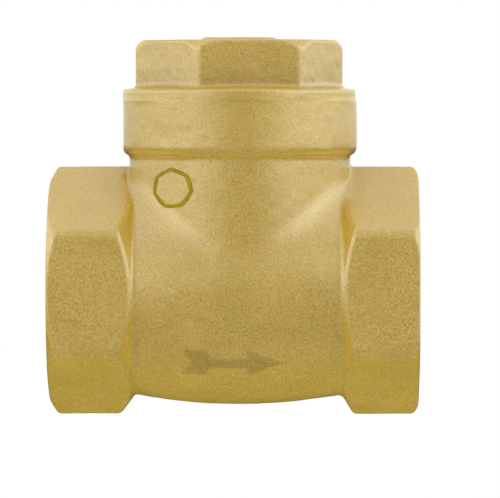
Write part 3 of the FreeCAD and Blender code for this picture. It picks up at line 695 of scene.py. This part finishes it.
class Nodes(Graph):
    """A new material's nodes. Lengths in textures are millimetres."""

    def __init__(self, name):
        self.material = bpy.data.materials.new(name)
        self.material.use_nodes = True
        super().__init__(self.material.node_tree)
        self.shader = self.tree.nodes["Principled BSDF"]
        coordinates = self.add("ShaderNodeTexCoord")
        scale = self.add("ShaderNodeVectorMath", operation="SCALE")
        scale.inputs["Scale"].default_value = 1 / MM
        self.link(coordinates.outputs["Object"], scale.inputs[0])
        self.place = scale.outputs[0]

    def noise(self, size, detail=2.0, rough=0.5, place=None):
        """Noise from 0 to 1 with bumps about size across."""
        node = self.add("ShaderNodeTexNoise")
        node.inputs["Scale"].default_value = 1 / size
        node.inputs["Detail"].default_value = detail
        node.inputs["Roughness"].default_value = rough
        self.link(place or self.place, node.inputs["Vector"])
        return node.outputs["Fac"]

    def ramp(self, value, stops):
        """Colours or greys placed along a value. stops are (position, colour or grey)."""
        node = self.add("ShaderNodeValToRGB")
        for element, (position, colour) in zip(node.color_ramp.elements, stops):
            element.position = position
            grey = isinstance(colour, (int, float))
            element.color = (colour, colour, colour, 1) if grey else (*colour, 1)
        self.link(value, node.inputs["Fac"])
        return node.outputs["Color"]

    def bump(self, height, strength, distance_mm, below=None):
        """A normal that follows a height, on top of another normal if one is given."""
        node = self.add("ShaderNodeBump")
        node.inputs["Strength"].default_value = strength
        node.inputs["Distance"].default_value = distance_mm * MM
        self.link(height, node.inputs["Height"])
        if below is not None:
            self.link(below, node.inputs["Normal"])
        return node.outputs["Normal"]

    def set(self, **inputs):
        """Sets the shader's inputs, whose spaces are written as underscores."""
        for key, value in inputs.items():
            self.feed(value, self.shader.inputs[key.replace("_", " ")])
        return self.material


def cast_brass(name, arrow=False):
    """Blasted brass: fine grain, small pits, and a tone that drifts between warm and pale."""
    n = Nodes(name)
    drift = n.noise(9.0, 3.0)
    tone = n.ramp(drift, [(0.32, WARM_BRASS), (0.68, PALE_BRASS)])
    grain = n.ramp(n.noise(0.30, 2.0, 0.6), [(0.30, GRAIN_DARK), (0.70, GRAIN_LIGHT)])
    tone = n.mix(1.0, tone, grain, "MULTIPLY")
    pits = n.ramp(n.noise(0.9, 2.0), [(0.20, 1.0), (0.30, 0.0)])
    tone = n.mix(pits, tone, PIT_BRASS)
    # painted shade: the raised arrow's face is darkened to stand in for its reflection of the dark table
    if arrow:
        mark = n.add("ShaderNodeAttribute", attribute_name="arrow")
        painted_arrow_shade = n.mix(1.0, tone, ARROW_SHADE, "MULTIPLY")
        tone = n.mix(mark.outputs["Fac"], tone, painted_arrow_shade)
    rough = n.ramp(n.noise(1.3, 3.0), [(0.3, 0.44), (0.7, 0.56)])
    bump = n.bump(n.noise(0.30, 3.0, 0.7), 0.25, 0.08)
    bump = n.bump(n.noise(1.4, 2.0), 0.2, 0.10, bump)
    n.set(Specular_IOR_Level=0.0, Coat_Weight=1.0, Coat_IOR=2.5, Coat_Roughness=0.32, Coat_Normal=bump)
    return n.set(Base_Color=tone, Metallic=0.1, Roughness=rough, Normal=bump)


def turned_brass(name, axis, centre=(0.0, 0.0, 0.0)):
    """Bright brass with fine rings from turning about an axis (0 for X, 1 for Y, 2 for Z)."""
    n = Nodes(name)
    placed = n.add("ShaderNodeVectorMath", operation="SUBTRACT")
    placed.inputs[1].default_value = centre
    n.link(n.place, placed.inputs[0])
    rings = n.add("ShaderNodeTexWave", wave_type="RINGS", rings_direction="XYZ"[axis])
    rings.inputs["Scale"].default_value = 0.7
    rings.inputs["Distortion"].default_value = 0.6
    rings.inputs["Detail"].default_value = 2.0
    n.link(placed.outputs[0], rings.inputs["Vector"])
    rings = rings.outputs["Fac"]
    tone = n.ramp(n.noise(5.0, 2.0), [(0.3, TURNED_DARK), (0.7, TURNED_LIGHT)])
    rough = n.ramp(rings, [(0.2, 0.30), (0.8, 0.40)])
    bump = n.bump(rings, 0.2, 0.02)
    return n.set(Base_Color=tone, Metallic=0.6, Roughness=rough, Normal=bump)


def sealant(name):
    """Cured thread sealant: olive, with a slight gloss and an uneven surface."""
    n = Nodes(name)
    tone = n.ramp(n.noise(0.8, 2.0), [(0.3, SEALANT_DARK), (0.7, SEALANT_LIGHT)])
    bump = n.bump(n.noise(0.35, 2.0), 0.2, 0.05)
    return n.set(Base_Color=tone, Roughness=0.5, Specular_IOR_Level=0.15, Normal=bump)


def ground_steel(name):
    """Ground rod with fine scratches along it."""
    n = Nodes(name)
    squeeze = n.add("ShaderNodeMapping")
    squeeze.inputs["Scale"].default_value = (6.0, 0.6, 6.0)
    n.link(n.place, squeeze.inputs["Vector"])
    scratches = n.noise(0.6, 3.0, 0.5, squeeze.outputs[0])
    tone = n.ramp(scratches, [(0.3, STEEL_DARK), (0.7, STEEL_LIGHT)])
    rough = n.ramp(scratches, [(0.3, 0.20), (0.7, 0.34)])
    return n.set(Base_Color=tone, Metallic=1.0, Roughness=rough, Normal=n.bump(scratches, 0.15, 0.02))


def gasket_fibre(name):
    """Compressed fibre sheet, mottled and matt."""
    n = Nodes(name)
    fibres = n.noise(0.5, 5.0, 0.7)
    tone = n.ramp(fibres, [(0.35, FIBRE_DARK), (0.65, FIBRE_LIGHT)])
    return n.set(Base_Color=tone, Roughness=0.8, Normal=n.bump(fibres, 0.5, 0.06))


def seat_rubber(name):
    """Black rubber with a faint bloom."""
    n = Nodes(name)
    bloom = n.noise(3.0, 3.0)
    tone = n.ramp(bloom, [(0.3, RUBBER_DARK), (0.7, RUBBER_LIGHT)])
    rough = n.ramp(bloom, [(0.3, 0.48), (0.7, 0.66)])
    return n.set(Base_Color=tone, Roughness=rough, Normal=n.bump(n.noise(0.25, 2.0), 0.25, 0.03))


def paint_cad_nodes():
    """Gives every CAD node that stays its material."""
    finishes = {
        "hinge_pin_plug": cast_brass("plug_brass"),
        "hinge_pin": ground_steel("pin_steel"),
        "bonnet_gasket": gasket_fibre("gasket_fibre"),
        "disc_hanger": cast_brass("hanger_brass"),
        "seat_disc": seat_rubber("seat_rubber"),
        "disc_holder": turned_brass("holder_brass", 0),
        "seat_disc_washer": turned_brass("washer_brass", 0),
        "seat_disc_screw": turned_brass("screw_brass", 0),
        "hanger_washer": turned_brass("back_washer_brass", 0),
        "hanger_nut": turned_brass("nut_brass", 0),
        "nut_cotter": turned_brass("cotter_brass", 1),
    }
    for node, material in finishes.items():
        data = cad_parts[node].data
        data.materials.clear()
        data.materials.append(material)


# ---------------------------------------------------------------- studio
def make_floor():
    """A pale floor. It looks white, but it is dark in reflections, like the table in a light tent."""
    n = Nodes("floor_white")
    path = n.add("ShaderNodeLightPath")
    glow = n.add("ShaderNodeEmission")
    in_diffuse = n.math("MULTIPLY", path.outputs["Is Diffuse Ray"], FLOOR_IN_DIFFUSE)
    n.link(n.math("MAXIMUM", path.outputs["Is Camera Ray"], in_diffuse), glow.inputs["Strength"])
    n.link(n.mix(path.outputs["Is Camera Ray"], FLOOR_TINT, WHITE), glow.inputs["Color"])
    n.link(glow.outputs[0], n.tree.nodes["Material Output"].inputs["Surface"])
    n.material.cycles.emission_sampling = "NONE"
    level = body_low[2] - FLOOR_GAP
    turns = ((-1, -1), (1, -1), (1, 1), (-1, 1))
    corners = [(x * FLOOR_REACH, y * FLOOR_REACH, level) for x, y in turns]
    floor = new_object("floor", corners, [(0, 1, 2, 3)])
    floor.data.materials.append(n.material)


def studio_glow(graph):
    """How bright the studio is in each direction, in reflections and as light on matt surfaces.

    Bright walls stand left and right, a lit ceiling above, and the camera's side and the table are dim.
    """
    # x is to the camera's right and y away from it. Angles are taken from a little right of the camera.
    parts = graph.add("ShaderNodeSeparateXYZ")
    graph.link(graph.add("ShaderNodeTexCoord").outputs["Generated"], parts.inputs[0])
    x, y, z = parts.outputs[0], parts.outputs[1], parts.outputs[2]
    azimuth = graph.math("ARCTAN2", x, graph.math("MULTIPLY", y, -1.0))
    off_camera = graph.math("ABSOLUTE", graph.math("SUBTRACT", azimuth, math.radians(5)), 0.0)
    walls = graph.step(off_camera, math.radians(8), math.radians(52), 0.0, 1.35)
    behind = graph.step(off_camera, math.radians(85), math.radians(135), 1.0, 0.76)
    # The left wall fades out lower than the right one.
    height = graph.math("ADD", z, graph.step(azimuth, -0.3, 0.3, 0.25, 0.0))
    overhead = graph.step(height, 0.3, 0.8, 1.0, 0.55)
    walls = graph.math("MULTIPLY", walls, graph.math("MULTIPLY", behind, overhead))
    upwards = graph.step(z, -0.02, 0.60, 0.0, 0.55)
    ceiling = graph.math("MULTIPLY", upwards, graph.step(y, -0.7, 0.6, 0.62, 1.08))
    above_table = graph.step(z, -0.30, -0.03, 0.0, 1.0)
    glossy = graph.math("MULTIPLY", graph.math("MAXIMUM", walls, ceiling), above_table)
    from_sides = graph.step(graph.math("ABSOLUTE", x, 0.0), 0.3, 0.95, 1.04, 0.76)
    diffuse = graph.math("MULTIPLY", graph.step(z, -0.2, 1.0, 0.92, 1.16), from_sides)
    return glossy, diffuse


def make_world():
    """A light tent that the camera sees as plain white."""
    world = bpy.data.worlds.new("studio")
    bpy.context.scene.world = world
    world.use_nodes = True
    world.cycles.sampling_method = "NONE"
    graph = Graph(world.node_tree)
    graph.tree.nodes.clear()
    path = graph.add("ShaderNodeLightPath")
    in_gloss, in_diffuse = studio_glow(graph)
    glossy = graph.math("MULTIPLY", in_gloss, path.outputs["Is Glossy Ray"])
    glossy = graph.math("MULTIPLY", glossy, STUDIO_GLOW)
    diffuse = graph.math("MULTIPLY", in_diffuse, path.outputs["Is Diffuse Ray"])
    diffuse = graph.math("MULTIPLY", diffuse, STUDIO_FILL)
    strength = graph.math("ADD", graph.math("ADD", glossy, diffuse), path.outputs["Is Camera Ray"])
    background = graph.add("ShaderNodeBackground")
    tint = graph.mix(path.outputs["Is Camera Ray"], STUDIO_TINT, WHITE)
    graph.link(tint, background.inputs["Color"])
    graph.link(strength, background.inputs["Strength"])
    output = graph.add("ShaderNodeOutputWorld")
    graph.link(background.outputs[0], output.inputs["Surface"])


def softbox(name, place, watts, size):
    """A square area light aimed at the valve's middle. Its place is in metres."""
    lamp = bpy.data.lights.new(name, "AREA")
    lamp.energy = watts
    lamp.size = size
    obj = bpy.data.objects.new(name, lamp)
    bpy.context.scene.collection.objects.link(obj)
    obj.location = place
    middle = Vector((LENGTH / 2, 0, (COLLAR_TOP - HUB_CORNER) / 2)) * MM
    aim = middle - obj.location
    obj.rotation_mode = "QUATERNION"
    obj.rotation_quaternion = aim.to_track_quat("-Z", "Y")
    obj.visible_camera = False


def make_lights():
    softbox("softbox_left", (-0.9, -0.45, 0.45), 0.1, 0.7)
    softbox("softbox_right", (1.0, -0.40, 0.40), 0.12, 0.7)
    softbox("softbox_top", (0.04, -0.1, 1.0), 0.1, 0.8)


def make_camera():
    """A long lens in front, a little above the valve's middle."""
    across = math.cos(CAMERA_ELEVATION)
    sideways = math.sin(CAMERA_AZIMUTH) * across
    forwards = -math.cos(CAMERA_AZIMUTH) * across
    back = Vector((sideways, forwards, math.sin(CAMERA_ELEVATION)))
    data = bpy.data.cameras.new("camera")
    data.sensor_width = SENSOR_WIDTH
    data.lens = SENSOR_WIDTH * CAMERA_DISTANCE / (VIEW_WIDTH * MM)
    data.clip_start = 0.05
    data.clip_end = 20.0
    camera = bpy.data.objects.new("camera", data)
    bpy.context.scene.collection.objects.link(camera)
    camera.location = Vector(CAMERA_AIM) * MM + back * CAMERA_DISTANCE
    camera.rotation_mode = "QUATERNION"
    camera.rotation_quaternion = (-back).to_track_quat("-Z", "Y")
    bpy.context.scene.camera = camera


make_body()
make_cap()
make_bead()
paint_cad_nodes()
make_floor()
make_world()
make_lights()
make_camera()
bpy.context.scene.view_settings.view_transform = "Standard"
